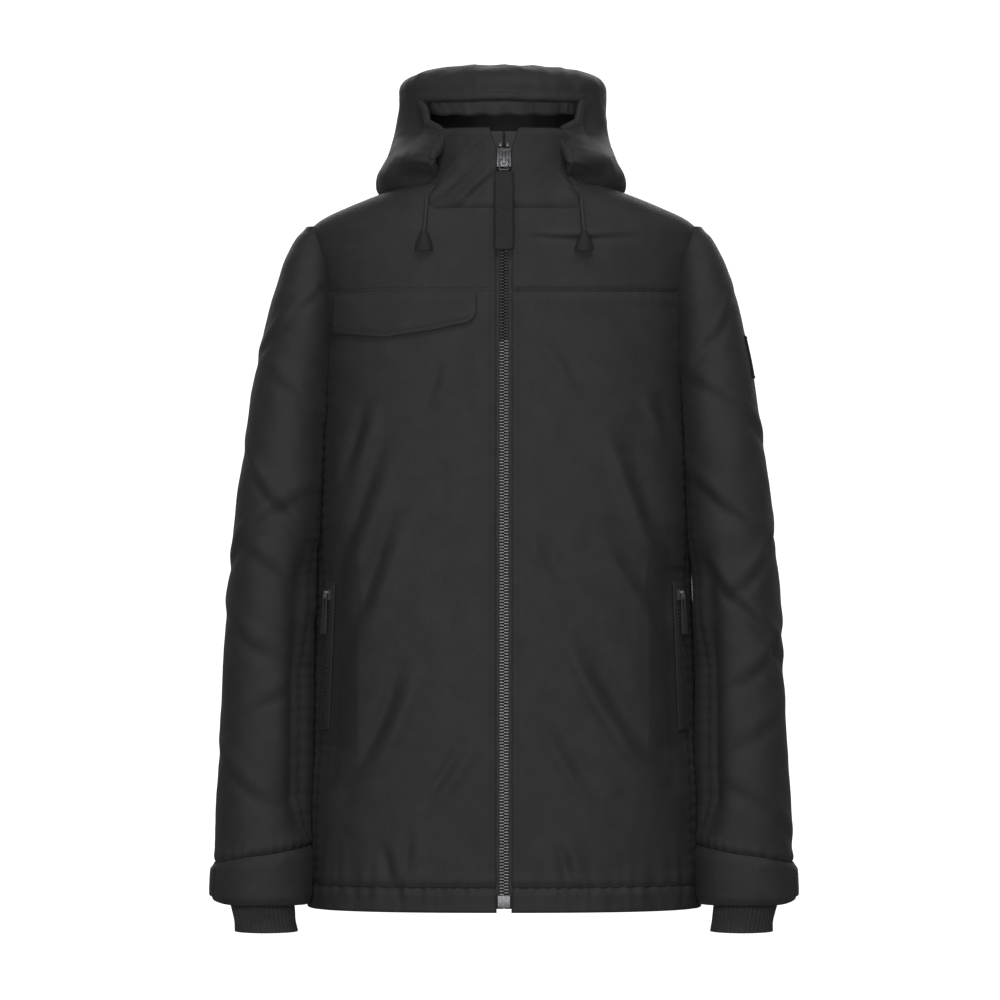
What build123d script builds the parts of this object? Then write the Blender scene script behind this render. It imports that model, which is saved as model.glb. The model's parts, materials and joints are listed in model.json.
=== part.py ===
"""A ski jacket hanging by its neck loop, with the hood up and the front zip closed.

Frame: +Z up, +X to the wearer's left, -Y to the front.  The origin is the point
of the hanger loop that rests on a hook.  All sizes are in millimetres.
"""
from build123d import *
from math import atan2, cos, degrees, pi, radians, sin, tan
import os

# ---- driving sizes ---------------------------------------------------------
HEM_Z = -730.0            # bottom edge of the body
ELBOW_Z = -400.0          # seam across the under sleeve
COLLAR_Z = 50.0           # top edge of the stand-up collar
HEM_FRONT_Y = -205.0      # centre front at the hem
COLLAR_FRONT_Y = -150.0   # centre front at the top of the collar
WALL = 5.0                # shell, padding and backing together
LINING = 1.2              # lining cloth
POCKET_INSET = 10.0       # depth of the pocket bags under the shell
AIR = 0.3                 # gap between bodies that move
SLACK = 2.0               # space between the shell and its lining
YOKE_Z = -114.0           # seam between the chest yokes and the panels
HEM_BAND_Z = -706.0       # stitch line over the turned-up hem
ARMPIT_Z = -272.0         # lowest point of the armhole
SIDE_SEAM_TOP = 180.0     # half width between the side seams at the yoke
SIDE_SEAM_HEM = 190.0     # half width between the side seams at the hem
SHOULDER_Y = -70.0        # the seam along the top of each shoulder
CUFF_Z = -676.0           # seam between sleeve and cuff band, on its axis
CUFF_TILT = 12.0          # the cuff seam rises towards the body
HOOD_SPLIT_Z = 18.0       # the hood folds back above this level
HOOD_AXIS_Y = -45.0
HOOD_FOLD = 25.0          # degrees that the hood tips back
ZIP_HALF = 7.0            # half of the gap between the two front edges
TEETH_HALF = 5.0
TAPE_HALF = 16.5
CORD_D = 3.2

FRONT_TILT = degrees(atan2(COLLAR_FRONT_Y - HEM_FRONT_Y, COLLAR_Z - HEM_Z))

# ---- stations: height, half width, back -------------------------------------
BODY = [(HEM_Z, 198, 25), (-400, 190, 28), (-200, 187, 28), (YOKE_Z, 190, 27), (-66, 197, 24),
        (-46, 186, 20), (-18, 126, 15), (-5, 92, 14)]
COLLAR = [(-5, 92, 14), (COLLAR_Z, 74, 10)]
# height, edge next to the body, outer edge, centre depth, half depth
SLEEVE = [(-56, 186, 203, -72, 24), (-90, 160, 223, -75, 55), (-182, 152, 246, -82, 66),
          (-300, 184, 264, -94, 63), (-480, 198, 280, -110, 57), (-724, 206, 292, -124, 52)]
# height, half width, front, back
HOOD = [(-12, 119, -146, 44), (30, 113, -138, 72), (80, 104, -112, 70), (100, 94, -96, 52), (112, 42, -62, 14)]


def front_y(z):
    """The centre front is one straight line, so the zip can run along it."""
    return HEM_FRONT_Y + (COLLAR_FRONT_Y - HEM_FRONT_Y) * (z - HEM_Z) / (COLLAR_Z - HEM_Z)


def oval(z, half, front, back):
    """A horizontal section between a front and a back."""
    return Plane((0, (front + back) / 2, z)) * Ellipse(half, (back - front) / 2)


def body(inset):
    """The solid outline of body and collar, moved inwards by inset."""
    torso = loft([oval(z, w - inset, front_y(z) + inset, b - inset) for z, w, b in BODY], ruled=True)
    neck = loft([oval(z, w - inset, front_y(z) + inset, b - inset) for z, w, b in COLLAR], ruled=True)
    return torso + neck


def sleeve(side, inset):
    """The solid outline of one sleeve; side is -1 for the wearer's right, 1 for the left."""
    rings = []
    for i, (z, inner, outer, middle, depth) in enumerate(SLEEVE):
        drop = inset if i == 0 else 0
        place = Plane((side * (inner + outer) / 2, middle, z - drop))
        rings.append(place * Ellipse((outer - inner) / 2 - inset, depth - inset))
    return loft(rings, ruled=True)


def hood(inset):
    """The solid outline of the hood, moved inwards by inset."""
    rings = []
    for i, (z, half, front, back) in enumerate(HOOD):
        drop = inset if i == len(HOOD) - 1 else 0
        rings.append(oval(z - drop, half - inset, front + inset, back - inset))
    return loft(rings, ruled=True)


def block(x, y, z):
    """A box from three (low, high) pairs."""
    size = [high - low for low, high in (x, y, z)]
    middle = [(high + low) / 2 for low, high in (x, y, z)]
    return Pos(*middle) * Box(*size)


def slab(points, y):
    """A flat outline in X and Z, carried through the depth y = (low, high)."""
    face = make_face(Polyline(*[(px, y[0], pz) for px, pz in points], close=True))
    return extrude(face, y[1] - y[0], dir=(0, 1, 0))


def write(name, shape):
    """One file for one node, without the dust that a cut can leave."""
    largest = max(solid.volume for solid in shape.solids())
    shape = Compound(children=[solid for solid in shape.solids() if solid.volume > largest / 200])
    shape.label = name
    export_step(shape, f"parts/{name}.step")


SIDES = {"right": -1, "left": 1}
FAR = 400.0
HALF = {side: block(tuple(sorted((0, sign * FAR))), (-FAR, FAR), (-900, 300))
        for side, sign in SIDES.items()}

# The zip's own frame: X across, Z up along the zip, Y into the jacket.
ZIP = Plane(origin=(0, front_y(0), 0), x_dir=(1, 0, 0),
            z_dir=(0, sin(radians(FRONT_TILT)), cos(radians(FRONT_TILT))))
ZIP_BOTTOM = HEM_Z / cos(radians(FRONT_TILT)) + 3.0
ZIP_TOP = 38.0


def zip_block(x, y, z):
    return ZIP.location * block(x, y, z)


# ---- shell ------------------------------------------------------------------
def collar_space(y_low=-FAR, y_high=FAR):
    """Everything above the slanted neck seam, which is lower at the front."""
    front, back, reach = -30.0, 0.0, 169.0
    slope = (back - front) / reach
    low, high = front + slope * (-300 + 155), front + slope * (200 + 155)
    outline = Polyline((-250, -300, low), (-250, 200, high), (-250, 200, 90), (-250, -300, 90), close=True)
    space = extrude(make_face(outline), 500, dir=(1, 0, 0))
    return space & block((-250, 250), (y_low, y_high), (-100, 90))


def shell_wall():
    """Body and collar as one wall, open at the armholes, the front and the neck."""
    wall = body(0) - body(WALL)
    for sign in SIDES.values():
        wall -= sleeve(sign, WALL) & block((-FAR, FAR), (-FAR, FAR), (ARMPIT_Z, 0))
    wall -= zip_block((-ZIP_HALF, ZIP_HALF), (-20, 20), (-800, 80))
    wall -= zip_block((-TAPE_HALF - AIR, TAPE_HALF + AIR), (2.2, 20), (-800, 80))
    notch = slab([(-ZIP_HALF, 24), (ZIP_HALF, 24), (13, 60), (-13, 60)], (-FAR, -100))
    return wall - notch


def side_seam_outline(sign, low, high):
    """The region between the centre front and the side seam, seen from the front."""
    run = YOKE_Z - HEM_BAND_Z

    def seam(z):
        return SIDE_SEAM_TOP + (SIDE_SEAM_HEM - SIDE_SEAM_TOP) * (YOKE_Z - z) / run

    return [(0, low), (sign * seam(low), low), (sign * seam(high), high), (0, high)]


def shell_panels(wall):
    neck = collar_space()
    lower = wall - neck
    pieces = {"hem_band": lower & block((-FAR, FAR), (-FAR, FAR), (-900, HEM_BAND_Z))}
    panels = lower & block((-FAR, FAR), (-FAR, FAR), (HEM_BAND_Z, YOKE_Z))
    yokes = lower & block((-FAR, FAR), (-FAR, FAR), (YOKE_Z, 100))
    middle = {side: slab(side_seam_outline(sign, HEM_BAND_Z - 1, YOKE_Z + 1), (-FAR, FAR))
              for side, sign in SIDES.items()}
    front = block((-FAR, FAR), (-FAR, SHOULDER_Y), (-900, 100))
    back = block((-FAR, FAR), (SHOULDER_Y, FAR), (-900, 100))
    for side in SIDES:
        pieces[f"front_panel_{side}"] = panels & middle[side] & front
        pieces[f"side_panel_{side}"] = (panels & HALF[side]) - middle[side]
        pieces[f"front_yoke_{side}"] = yokes & front & HALF[side]
        pieces[f"collar_{side}"] = wall & collar_space(y_high=SHOULDER_Y) & HALF[side]
    # The back panel is sewn in two halves along the centre back.
    pieces["back_panel"] = Compound(children=[panels & middle[side] & back for side in SIDES])
    pieces["back_yoke"] = yokes & back
    pieces["collar_back"] = wall & collar_space(y_low=SHOULDER_Y)
    return pieces


def layer(outer, inner):
    """A thin layer that follows the body, between two insets."""
    return body(outer) - body(inner)


def body_lining():
    gap = WALL + SLACK
    cloth = layer(gap, gap + LINING) - collar_space()
    cloth &= block((-FAR, FAR), (-FAR, FAR), (HEM_BAND_Z + 4, 100))
    for sign in SIDES.values():
        cloth -= sleeve(sign, WALL) & block((-FAR, FAR), (-FAR, FAR), (ARMPIT_Z, 0))
    return cloth - zip_block((-TAPE_HALF - 2, TAPE_HALF + 2), (-20, 30), (-800, 80))


def collar_lining():
    gap = WALL + SLACK
    cloth = layer(gap, gap + LINING) & collar_space()
    cloth -= zip_block((-TAPE_HALF - 2, TAPE_HALF + 2), (-20, 30), (-800, 80))
    return cloth & block((-FAR, FAR), (-FAR, FAR), (-60, COLLAR_Z - 2))


# ---- sleeves ----------------------------------------------------------------
def below_cuff_seam(sign, drop=0.0):
    """The half space below the tilted seam where the cuff band starts."""
    middle = 248.0
    big = Pos(0, 0, -200) * Box(200, 400, 400)
    return Pos(sign * middle, -120, CUFF_Z - drop) * Rot(0, sign * CUFF_TILT, 0) * big


def outer_half(sign):
    """The outer side of the slanted plane through a sleeve's two long seams."""
    top, bottom = 196.0, 249.0
    return slab([(sign * top, -50), (sign * 400, -50), (sign * 400, -740), (sign * bottom, -740)], (-FAR, FAR))


def sleeves(trunk):
    pieces = {}
    for side, sign in SIDES.items():
        tube = sleeve(sign, 0) - sleeve(sign, WALL) - trunk
        upper = tube - below_cuff_seam(sign)
        pieces[f"upper_sleeve_{side}"] = upper & outer_half(sign)
        # The under sleeve is sewn in two lengths, with a seam across the inside of the elbow.
        under = upper - outer_half(sign)
        forearm = block((-FAR, FAR), (-FAR, FAR), (-900, ELBOW_Z))
        pieces[f"under_sleeve_{side}"] = Compound(children=[under - forearm, under & forearm])
        pieces[f"cuff_{side}"] = (sleeve(sign, -1.5) - sleeve(sign, WALL)) & below_cuff_seam(sign)
    return pieces


def sleeve_linings(trunk):
    gap = WALL + SLACK
    linings = []
    for sign in SIDES.values():
        cloth = sleeve(sign, gap) - sleeve(sign, gap + LINING) - trunk
        linings.append(cloth & block((-FAR, FAR), (-FAR, FAR), (-700, 0)))
    return linings


def inner_cuff(sign):
    """A knitted storm cuff that hangs out below the cuff band."""
    def tube(inset):
        rings = []
        for z, middle, half, y, depth in ((-700, 248, 34, -123, 43), (-728, 244, 30.5, -125, 40),
                                          (-754, 238, 31, -126, 39)):
            rings.append(Plane((sign * middle, y, z)) * Ellipse(half - inset, depth - inset))
        return loft(rings, ruled=True)
    return tube(0) - tube(2.2)


TAB_LOW, TAB_HIGH = -718.0, -690.0
TAB_HINGE_Y = -150.0      # depth of the tab's sewn end
TAB_END_Y = -78.0         # depth of the tab's free end


def cuff_tab(sign):
    """A strap round the outside of the cuff, sewn at its front end."""
    strap = sleeve(sign, -4.4) - sleeve(sign, -2.3)
    zone = block(tuple(sorted((sign * 252, sign * 320))), (TAB_HINGE_Y, TAB_END_Y), (TAB_LOW, TAB_HIGH))
    return strap & zone


def cuff_patch(sign):
    """The thin hook patch that the strap closes on."""
    patch = sleeve(sign, -1.9) - sleeve(sign, -1.5)
    zone = block(tuple(sorted((sign * 252, sign * 320))), (-120, -84), (TAB_LOW + 4, TAB_HIGH - 4))
    return patch & zone


def sleeve_badge():
    """A small blank patch sewn on the outside of the wearer's left sleeve."""
    patch = sleeve(1, -2.6) - sleeve(1, 0)
    return patch & block((200, 320), (-112, -70), (-200, -157))


# ---- hood -------------------------------------------------------------------
def face_opening():
    outline = [(-52, -40), (-52, 15), (-74, 36), (-79, 78), (79, 78), (74, 36), (52, 15), (52, -40)]
    return slab(outline, (-FAR, -56))


def above_fold(lift):
    """Space over the hood's fold: level in front of the axis, rising behind it."""
    rise = tan(radians(HOOD_FOLD))
    z, y = HOOD_SPLIT_Z + lift, HOOD_AXIS_Y
    outline = Polyline((-200, -FAR, z), (-200, y, z), (-200, 200, z + rise * (200 - y)), (-200, 200, 400),
                       (-200, -FAR, 400), close=True)
    return extrude(make_face(outline), 400, dir=(1, 0, 0))


def hood_pieces(trunk_clear, collar_clear):
    wall = hood(0) - hood(WALL) - face_opening()
    moving = (wall & above_fold(AIR)) - collar_clear
    middle = block((-45, 45), (-FAR, FAR), (-100, 200))
    brim = block((-FAR, FAR), (-FAR, -48), (78, 200))
    level = block((-FAR, FAR), (-FAR, FAR), (-100, HOOD_SPLIT_Z))
    cloth = hood(WALL + SLACK) - hood(WALL + SLACK + LINING) - face_opening()
    pieces = {"hood_brim": moving & brim,
              "hood_centre_panel": (moving - brim) & middle,
              "hood_base": (wall & level) - trunk_clear,
              "hood_lining": (cloth & above_fold(AIR)) - collar_clear}
    for side in SIDES:
        pieces[f"hood_side_{side}"] = ((moving - brim) - middle) & HALF[side]
    pieces["hood_fold"] = wall - above_fold(0) - level
    return pieces


# ---- front zip --------------------------------------------------------------
def zip_tape(sign):
    return zip_block(tuple(sorted((sign * 0.8, sign * TAPE_HALF))), (2.4, 3.4), (ZIP_BOTTOM, ZIP_TOP + 10))


def zip_teeth(sign):
    return zip_block(tuple(sorted((sign * 0.05, sign * TEETH_HALF))), (0.2, 2.4), (ZIP_BOTTOM + 14, ZIP_TOP - 8))


SLIDER_LOW, SLIDER_HIGH = 10.0, 29.0


def zip_slider():
    """A saddle over the teeth, with a bridge that holds the pull."""
    top = zip_block((-7.5, 7.5), (-2.2, -0.2), (SLIDER_LOW, SLIDER_HIGH))
    for sign in SIDES.values():
        top += zip_block(tuple(sorted((sign * 5.4, sign * 6.7))), (-0.3, 2.0), (SLIDER_LOW, SLIDER_HIGH))
    bridge = zip_block((-1.6, 1.6), (-7.0, -2.0), (SLIDER_LOW + 3, SLIDER_HIGH - 3))
    return top + bridge - zip_block((-3, 3), (-5.6, -2.9), (SLIDER_LOW + 6, SLIDER_HIGH - 6))


PULL_PIN_Z = 17.6
PULL_PIN_Y = -4.2
TAG_TOP, TAG_LENGTH, TAG_WIDTH = 6.0, 79.0, 19.0


def zip_pull():
    """A wire frame through the slider's bridge."""
    bar = 1.7
    outer = zip_block((-5.5, 5.5), (PULL_PIN_Y - bar / 2, PULL_PIN_Y + bar / 2), (TAG_TOP, PULL_PIN_Z + 1))
    hole = zip_block((-3.4, 3.4), (-20, 20), (TAG_TOP + 2.4, PULL_PIN_Z - 1))
    return outer - hole


def zip_tag():
    """A flat blank tag hung under the wire frame."""
    y = PULL_PIN_Y
    low = TAG_TOP - TAG_LENGTH
    face = Rectangle(TAG_WIDTH, TAG_LENGTH)
    face = fillet(face.vertices(), 4.0)
    return ZIP.location * Pos(0, y, (TAG_TOP + low) / 2) * Rot(90, 0, 0) * extrude(face, 1.4, both=True)


def zip_box():
    """The box and pin at the foot of the zip."""
    return zip_block((-6.7, 6.7), (-0.6, 2.3), (ZIP_BOTTOM, ZIP_BOTTOM + 13.5))


def zip_top_stops():
    stops = []
    for sign in SIDES.values():
        stops.append(zip_block(tuple(sorted((sign * 2.0, sign * 5.5))), (0.4, 2.3), (ZIP_TOP - 7, ZIP_TOP - 3)))
    return stops


# ---- hand pockets -----------------------------------------------------------
POCKET_Z, POCKET_LENGTH = -478.0, 150.0
POCKET_X = 176.0


def pocket_frame(sign):
    """On the shell beside the side seam: Z out of the cloth, Y up along the zip."""
    half, back = 191.9, 27.2
    front = front_y(POCKET_Z)
    middle, depth = (front + back) / 2, (back - front) / 2
    y = middle - depth * (1 - (POCKET_X / half) ** 2) ** 0.5
    out = Vector(sign * POCKET_X / half ** 2, (y - middle) / depth ** 2, 0.0).normalized()
    return Plane(origin=(sign * POCKET_X, y, POCKET_Z), x_dir=(-out.Y, out.X, 0), z_dir=(out.X, out.Y, 0.0495))


def pocket_zip(sign):
    place = pocket_frame(sign).location
    tape = place * Pos(0, 0, 1.7) * Box(17, POCKET_LENGTH, 1.2)
    teeth = place * Pos(0, 0, 3.2) * Box(4.6, POCKET_LENGTH - 8, 1.8)
    return [tape, teeth]


def pocket_slider(sign):
    place = pocket_frame(sign).location
    top = place * Pos(0, POCKET_LENGTH / 2 - 14, 5.3) * Box(8.4, 11, 1.8)
    for edge in (-1, 1):
        top += place * Pos(edge * 3.5, POCKET_LENGTH / 2 - 14, 3.8) * Box(1.4, 11, 2.2)
    bridge = place * Pos(0, POCKET_LENGTH / 2 - 14, 7.6) * Box(1.6, 7, 3.6)
    return top + bridge - place * Pos(0, POCKET_LENGTH / 2 - 14, 7.6) * Box(3, 3.4, 2.0)


def pocket_pull(sign):
    place = pocket_frame(sign).location * Pos(0, POCKET_LENGTH / 2 - 14, 7.6)
    frame = Pos(0, -7.4, 0) * Box(6.4, 16.4, 1.3) - Pos(0, -6.6, 0) * Box(3.2, 12.6, 4)
    tag = Pos(0, -27.5, 0) * Box(7.5, 24, 1.6)
    return place * (frame + tag)


def pocket_bag(sign):
    bag = layer(POCKET_INSET, POCKET_INSET + 2.5)
    return bag & block(tuple(sorted((sign * 78, sign * 168))), (-FAR, -90), (-600, -420))


# ---- chest pocket -----------------------------------------------------------
FLAP_X = (-158.0, -29.0)
FLAP_Z = (-160.0, YOKE_Z - 1.5)


def chest_flap():
    cover = body(-2.8) - body(-0.8)
    outline = make_face(Polyline((FLAP_X[0], 0, FLAP_Z[0]), (FLAP_X[1], 0, FLAP_Z[0] + 3),
                                 (FLAP_X[1], 0, FLAP_Z[1]), (FLAP_X[0], 0, FLAP_Z[1]), close=True))
    solid = extrude(outline, FAR, dir=(0, -1, 0))
    corner = solid.edges().filter_by(Axis.Y).sort_by(lambda e: (e @ 0.5).Z - (e @ 0.5).X)[0]
    solid = fillet(corner, 9.0)
    return (cover & solid & block((-FAR, FAR), (-FAR, SHOULDER_Y - 30), (-200, 0))) - sleeve(-1, -0.8)


def chest_pocket():
    bag = layer(POCKET_INSET, POCKET_INSET + 2.5)
    return bag & block((-150, -45), (-FAR, -90), (-300, -124))


# ---- neck, cords and hem ----------------------------------------------------
def hanger_loop(trunk_inside):
    """A round cord loop, sewn into the back neck seam at both ends."""
    radius = 1.6
    route = ThreePointArc((-24, 8, -15), (0, 0, radius), (24, 8, -15))
    ring = Plane(origin=route @ 0, z_dir=route % 0) * Circle(radius)
    return sweep(ring, path=route) & trunk_inside


def cord_route(sign):
    """Where a drawcord leaves the hood's edge, comes forward and hangs down."""
    return [(sign * 76.0, -136.0, -12.0), (sign * 76.5, -147.0, -16.5), (sign * 77.5, -153.5, -28.0),
            (sign * 78.5, -156.5, -41.0), (sign * 80.0, -157.5, -54.0)]


def drawcord(sign):
    points = cord_route(sign)
    radii = []
    for before, here, after in zip(points, points[1:], points[2:]):
        a = Vector(*here) - Vector(*before)
        b = Vector(*after) - Vector(*here)
        half_turn = radians(a.get_angle(b)) / 2
        radii.append(0.45 * min(a.length, b.length) / tan(half_turn))
    path = FilletPolyline(*points, radius=radii)
    ring = Plane(origin=path @ 0, z_dir=path % 0) * Circle(CORD_D / 2)
    tube = sweep(ring, path=path)
    print("drawcord", "radii", [round(r, 1) for r in radii], "length", round(path.length, 1),
          "volume", round(tube.volume, 1), "section x length", round(pi * CORD_D ** 2 / 4 * path.length, 1))
    return tube


def cord_end(sign):
    """A bell-shaped moulded end, wider at its foot."""
    x, y, z = cord_route(sign)[-1]
    rings = []
    for drop, wide, deep in ((0, 3.2, 2.6), (5, 5.4, 3.4), (13, 8.2, 4.2), (19, 9.4, 4.6)):
        rings.append(Plane((x, y, z - drop)) * Ellipse(wide, deep))
    return loft(rings, ruled=True)


def cord_eyelets(wall_clear):
    """Short bosses where the cords come out of the hood's edge."""
    boss = 12.0
    rims = []
    for sign in SIDES.values():
        start = Vector(*cord_route(sign)[0])
        along = (Vector(*cord_route(sign)[1]) - start).normalized()
        place = Plane(origin=start - along * boss, z_dir=along)
        rim = extrude(place * Circle(3.6), boss)
        rims.append(rim - wall_clear)
    return rims


def hem_cord():
    """The elastic cord inside the turned-up hem."""
    ring = layer(WALL + SLACK, WALL + SLACK + 3)
    ring &= block((-FAR, FAR), (-FAR, FAR), (-724, -721))
    return ring - zip_block((-22, 22), (-20, 40), (-800, 80))


def main():
    os.makedirs("parts", exist_ok=True)
    trunk = body(0)
    pieces = shell_panels(shell_wall())
    pieces.update(sleeves(trunk))
    pieces["sleeve_linings"] = Compound(children=sleeve_linings(trunk))
    pieces["body_lining"] = body_lining()
    pieces["collar_lining"] = collar_lining()
    clear = body(-0.5)
    pieces.update(hood_pieces(clear, body(-1.5)))
    for side, sign in SIDES.items():
        pieces[f"inner_cuff_{side}"] = inner_cuff(sign)
        pieces[f"cuff_tab_{side}"] = cuff_tab(sign)
        pieces[f"zip_tape_{side}"] = zip_tape(sign)
        pieces[f"zip_teeth_{side}"] = zip_teeth(sign)
        pieces[f"pocket_zip_{side}"] = Compound(children=pocket_zip(sign))
        pieces[f"pocket_slider_{side}"] = pocket_slider(sign)
        pieces[f"pocket_pull_{side}"] = pocket_pull(sign)
        pieces[f"pocket_bag_{side}"] = pocket_bag(sign)
        pieces[f"drawcord_{side}"] = drawcord(sign)
        pieces[f"cord_end_{side}"] = cord_end(sign)
    pieces["cuff_patches"] = Compound(children=[cuff_patch(sign) for sign in SIDES.values()])
    pieces["cord_eyelets"] = Compound(children=cord_eyelets(clear + hood(0)))
    pieces["sleeve_badge"] = sleeve_badge()
    pieces["zip_slider"] = zip_slider()
    pieces["zip_pull"] = zip_pull()
    pieces["zip_tag"] = zip_tag()
    pieces["zip_box"] = zip_box()
    pieces["zip_top_stops"] = Compound(children=zip_top_stops())
    pieces["chest_flap"] = chest_flap()
    pieces["chest_pocket"] = chest_pocket()
    pieces["hanger_loop"] = hanger_loop(body(WALL + SLACK + LINING))
    pieces["hem_cord"] = hem_cord()
    for name, shape in pieces.items():
        write(name, shape)


main()
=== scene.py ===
import json
import math

import bmesh
import bpy
import numpy as np
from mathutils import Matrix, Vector


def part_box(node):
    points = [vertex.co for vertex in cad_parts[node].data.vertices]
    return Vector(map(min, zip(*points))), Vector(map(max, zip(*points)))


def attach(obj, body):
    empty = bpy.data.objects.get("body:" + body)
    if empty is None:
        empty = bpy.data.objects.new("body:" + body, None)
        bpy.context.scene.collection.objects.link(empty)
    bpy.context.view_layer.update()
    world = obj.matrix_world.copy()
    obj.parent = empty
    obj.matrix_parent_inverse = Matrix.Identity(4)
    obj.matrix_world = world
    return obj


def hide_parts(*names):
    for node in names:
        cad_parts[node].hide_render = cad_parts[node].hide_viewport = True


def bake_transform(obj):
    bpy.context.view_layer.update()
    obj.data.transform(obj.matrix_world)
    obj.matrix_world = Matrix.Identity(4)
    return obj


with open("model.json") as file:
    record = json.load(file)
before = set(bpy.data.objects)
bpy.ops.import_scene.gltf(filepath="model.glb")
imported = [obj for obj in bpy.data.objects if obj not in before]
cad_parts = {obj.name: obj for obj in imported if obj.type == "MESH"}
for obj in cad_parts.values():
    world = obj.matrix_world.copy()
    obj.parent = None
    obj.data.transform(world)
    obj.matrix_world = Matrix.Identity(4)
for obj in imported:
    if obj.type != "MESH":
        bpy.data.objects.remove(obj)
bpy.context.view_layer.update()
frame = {"nodes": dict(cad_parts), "record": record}
ROOT = "jacket"
SIDES = (("right", -1.0), ("left", 1.0))
MM = 0.001

# ---- heights and depths, read from the frame --------------------------------
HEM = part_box("hem_band")[0].z
HEM_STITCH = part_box("hem_band")[1].z
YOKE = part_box("front_panel_left")[1].z
COLLAR_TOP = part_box("collar_back")[1].z
FRONT_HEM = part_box("hem_band")[0].y
FRONT_TOP = -0.150
HOOD_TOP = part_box("hood_brim")[1].z + 0.0065
CUFF_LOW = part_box("cuff_left")[0].z
# height, half width, back
BODY = [(HEM, .198, .025), (-.400, .190, .028), (-.200, .187, .028), (YOKE, .190, .027), (-.070, .199, .024),
        (-.050, .197, .020), (-.039, .185, .018), (-.029, .163, .016), (-.019, .139, .015),
        (-.008, .109, .014), (.000, .091, .014), (.010, .086, .013), (COLLAR_TOP, .074, .010)]
# height, edge next to the body, outer edge, centre depth, half depth
SLEEVE = [
    (-.047, .182, .1970, -.069, .022), (-.051, .179, .2045, -.070, .030), (-.060, .175, .2115, -.071, .038),
    (-.082, .171, .2225, -.075, .050), (-.122, .170, .2345, -.078, .060), (-.182, .174, .2480, -.082, .064),
    (-.240, .178, .2575, -.088, .064), (-.300, .183, .2655, -.094, .063), (-.400, .189, .2755, -.103, .060),
    (-.480, .191, .2810, -.110, .057), (-.600, .192, .2860, -.117, .054), (-.724, .196, .2915, -.124, .052)]
# height, half width, front, back
HOOD = [(-.020, .1150, -.126, .030), (-.010, .1260, -.134, .050), (.004, .1260, -.148, .058),
        (.018, .1180, -.155, .062), (.034, .1125, -.144, .068), (.050, .1080, -.132, .074),
        (.070, .1055, -.120, .074), (.090, .1055, -.108, .070)]


def ramp(value, width):
    """0 below zero, 1 above width, and straight between."""
    return np.clip(value / width, 0, 1)


def bell(value, width):
    """1 at zero, falling smoothly to nothing on both sides."""
    return np.exp(-(value / width) ** 2)


def half_turn(angle):
    """The same direction, between half a turn back and half a turn on."""
    return (angle + np.pi) % (2 * np.pi) - np.pi


def front_y(z):
    return FRONT_HEM + (FRONT_TOP - FRONT_HEM) * (z - HEM) / (COLLAR_TOP - HEM)


def eased(z, table, column, reach):
    """A column of a station table at height z, with its corners rounded over reach."""
    heights = [row[0] for row in table]
    values = [row[column] for row in table]
    if heights[0] > heights[-1]:
        heights, values = heights[::-1], values[::-1]
    z = np.asarray(z, float)
    return sum(np.interp(z + shift, heights, values) for shift in np.linspace(-reach, reach, 7)) / 7


def body_half(z):
    return eased(z, BODY, 1, 0.005)


# ---- noise --------------------------------------------------------------------
RANDOM = np.random.default_rng(7)
GRADIENTS = RANDOM.normal(size=(256, 3))
GRADIENTS /= np.linalg.norm(GRADIENTS, axis=1)[:, None]
SHUFFLE = RANDOM.permutation(256)


def noise(p):
    """Smooth gradient noise, about -0.6 to 0.6, of points in an (..., 3) array."""
    cell = np.floor(p).astype(int)
    part = p - cell
    fade = part * part * part * (part * (part * 6 - 15) + 10)
    total = np.zeros(p.shape[:-1])
    for dx in (0, 1):
        for dy in (0, 1):
            for dz in (0, 1):
                corner = cell + (dx, dy, dz)
                key = SHUFFLE[(SHUFFLE[(SHUFFLE[corner[..., 0] & 255] + corner[..., 1]) & 255]
                               + corner[..., 2]) & 255]
                dot = (GRADIENTS[key] * (part - (dx, dy, dz))).sum(-1)
                weight = (np.where(dx, fade[..., 0], 1 - fade[..., 0])
                          * np.where(dy, fade[..., 1], 1 - fade[..., 1])
                          * np.where(dz, fade[..., 2], 1 - fade[..., 2]))
                total += weight * dot
    return total


def crumple(points, size, stretch=(1, 1, 1), seed=0.0, octaves=3):
    """Cloth-like creases: ridged noise, warped by a coarser noise."""
    q = points / (np.array(stretch) * size) + seed
    q = q + 0.55 * np.stack([noise(q * 0.7 + k) for k in (11.3, 23.1, 37.7)], -1)
    out, gain = 0, 1.0
    for k in range(octaves):
        out = out + gain * (0.32 - np.abs(noise(q * 2 ** k + 5.1 * k)) * 1.6)
        gain *= 0.5
    return out


def fold_field(x, z, route, width):
    """A soft fold along a route on the front: raised on one side, sunk on the other."""
    (x0, z0), (x1, z1), (x2, z2) = [(a * MM, b * MM) for a, b in route]
    t = np.linspace(0, 1, 72)
    mx, mz = 2 * x1 - (x0 + x2) / 2, 2 * z1 - (z0 + z2) / 2
    px = (1 - t) ** 2 * x0 + 2 * t * (1 - t) * mx + t ** 2 * x2
    pz = (1 - t) ** 2 * z0 + 2 * t * (1 - t) * mz + t ** 2 * z2
    tx, tz = np.gradient(px), np.gradient(pz)
    size = np.hypot(tx, tz)
    near = np.full(x.shape, 1e9)
    at, across = np.zeros(x.shape), np.zeros(x.shape)
    for k in range(len(t)):
        ex, ez = x - px[k], z - pz[k]
        d = ex * ex + ez * ez
        closer = d < near
        near = np.where(closer, d, near)
        at = np.where(closer, t[k] + (ex * tx[k] + ez * tz[k]) / size[k] ** 2 / len(t), at)
        across = np.where(closer, (tx[k] * ez - tz[k] * ex) / size[k], across)
    s = across / (width * MM)
    ends = np.sin(np.pi * np.clip(at, 0.0, 1.0)) ** 1.2
    return ends * (np.exp(-(s - 0.75) ** 2 * 1.3) - 0.95 * np.exp(-(s + 0.75) ** 2 * 2.2))


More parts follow.
